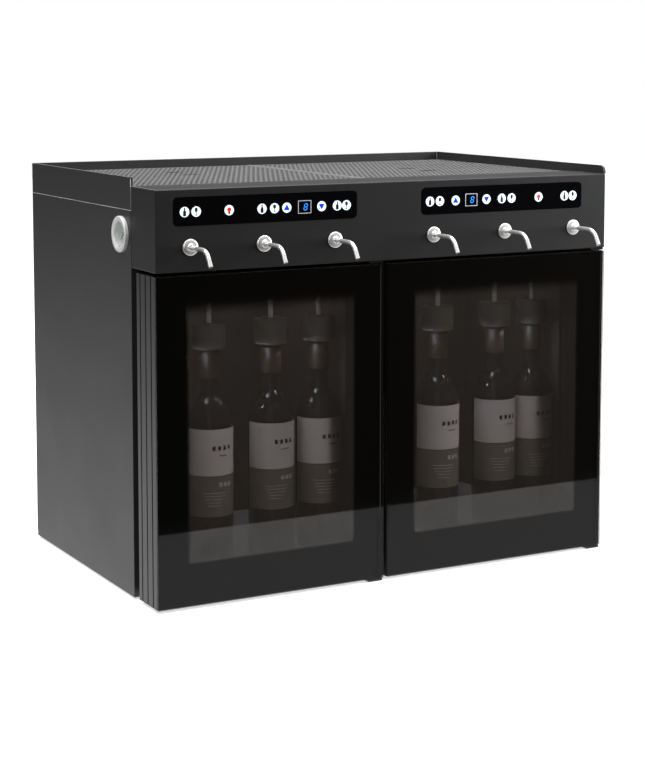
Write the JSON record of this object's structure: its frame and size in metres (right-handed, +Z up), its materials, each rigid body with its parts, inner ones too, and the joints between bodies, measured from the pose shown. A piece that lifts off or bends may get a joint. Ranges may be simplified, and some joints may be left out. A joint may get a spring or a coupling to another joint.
{
  "type": "wine cooler",
  "caption": "Countertop wine cooler and dispenser with two glass-door compartments, a control housing with curved spouts, pouring heads inside and a railed top with lift-off trays.",
  "frame": {"origin": "centre of the footprint of the whole machine, on the surface it stands on", "axes": "+X to the right and -Y towards a person facing the doors, +Z up"},
  "size_m": [0.778, 0.5824, 0.616],
  "materials": {
    "body": "satin black powder coat",
    "frame": "satin black plastic",
    "door_glass": "dark tinted glass with a black printed border",
    "control_glass": "gloss black touch glass",
    "liner": "dark moulded liner",
    "rubber": "black rubber",
    "steel": "polished stainless steel",
    "tray": "grey perforated mat",
    "head": "black moulded plastic",
    "aluminium": "plain aluminium",
    "brass": "turned brass",
    "dial": "pale printed dial",
    "lens": "clear glass"
  },
  "bodies": {
    "cabinet": {"base_pan": "body", "control_housing": "body", "foot_back_left": "rubber", "foot_back_right": "rubber", "foot_front_left": "rubber", "foot_front_right": "rubber", "front_frame": "frame", "gallery_back": "body", "gallery_left": "body", "gallery_right": "body", "gas_inlet": "brass", "gas_manifold": "brass", "gauge_case": "steel", "gauge_dial": "dial", "gauge_lens": "lens", "left_control_glass": "control_glass", "left_heat_sink": "aluminium", "left_liner": "liner", "left_side_panel": "body", "lower_hinge_rail": "steel", "power_inlet": "head", "power_supply": "body", "rear_cover": "body", "right_control_glass": "control_glass", "right_heat_sink": "aluminium", "right_liner": "liner", "right_side_panel": "body", "riser_tube_1": "steel", "riser_tube_2": "steel", "riser_tube_3": "steel", "riser_tube_4": "steel", "riser_tube_5": "steel", "riser_tube_6": "steel", "spout_1": "steel", "spout_2": "steel", "spout_3": "steel", "spout_4": "steel", "spout_5": "steel", "spout_6": "steel", "top_deck": "body", "upper_hinge_rail": "steel"},
    "left_door": {"left_door_frame": "frame", "left_door_glass": "door_glass", "left_door_gasket": "rubber"},
    "right_door": {"right_door_frame": "frame", "right_door_glass": "door_glass", "right_door_gasket": "rubber"},
    "left_tray_body": {"left_tray": "tray"},
    "right_tray_body": {"right_tray": "tray"},
    "left_fan_body": {"left_fan": "head"},
    "right_fan_body": {"right_fan": "head"},
    "needle": {"gauge_needle": "head"},
    "power_switch": {"rocker_switch": "head"},
    "head_1": {"pouring_head_1": "head"},
    "head_2": {"pouring_head_2": "head"},
    "head_3": {"pouring_head_3": "head"},
    "head_4": {"pouring_head_4": "head"},
    "head_5": {"pouring_head_5": "head"},
    "head_6": {"pouring_head_6": "head"}
  },
  "joints": [
    {"name": "left_door_hinge", "type": "hinge", "parent": "cabinet", "child": "left_door", "pos_m": [-0.0275, -0.21185, 0.005], "axis": [0, 0, 1], "range_deg": [0, 90]},
    {"name": "right_door_hinge", "type": "hinge", "parent": "cabinet", "child": "right_door", "pos_m": [0.376, -0.21185, 0.005], "axis": [0, 0, 1], "range_deg": [0, 110]},
    {"name": "left_tray_lift", "type": "slide", "parent": "cabinet", "child": "left_tray_body", "axis": [0, 0, 1], "range_m": [0, 0.08]},
    {"name": "right_tray_lift", "type": "slide", "parent": "cabinet", "child": "right_tray_body", "axis": [0, 0, 1], "range_m": [0, 0.08]},
    {"name": "head_lift_1", "type": "slide", "parent": "cabinet", "child": "head_1", "axis": [0, 0, 1], "range_m": [0, 0.055]},
    {"name": "head_lift_2", "type": "slide", "parent": "cabinet", "child": "head_2", "axis": [0, 0, 1], "range_m": [0, 0.055]},
    {"name": "head_lift_3", "type": "slide", "parent": "cabinet", "child": "head_3", "axis": [0, 0, 1], "range_m": [0, 0.055]},
    {"name": "head_lift_4", "type": "slide", "parent": "cabinet", "child": "head_4", "axis": [0, 0, 1], "range_m": [0, 0.055]},
    {"name": "head_lift_5", "type": "slide", "parent": "cabinet", "child": "head_5", "axis": [0, 0, 1], "range_m": [0, 0.055]},
    {"name": "head_lift_6", "type": "slide", "parent": "cabinet", "child": "head_6", "axis": [0, 0, 1], "range_m": [0, 0.055]},
    {"name": "left_fan_spin", "type": "hinge", "parent": "cabinet", "child": "left_fan_body", "pos_m": [-0.19475, 0.20465, 0.29], "axis": [0, 1, 0], "continuous": true},
    {"name": "right_fan_spin", "type": "hinge", "parent": "cabinet", "child": "right_fan_body", "pos_m": [0.18625, 0.20465, 0.29], "axis": [0, 1, 0], "continuous": true},
    {"name": "needle_turn", "type": "hinge", "parent": "cabinet", "child": "needle", "pos_m": [-0.383, -0.09835, 0.532], "axis": [-1, 0, 0], "range_deg": [0, 270], "stiffness_Nm_per_rad": 0.0004, "springref_deg": -22.92},
    {"name": "switch_rock", "type": "hinge", "parent": "cabinet", "child": "power_switch", "pos_m": [0.262, 0.27615, 0.06], "axis": [1, 0, 0], "range_deg": [-8, 8]}
  ]
}
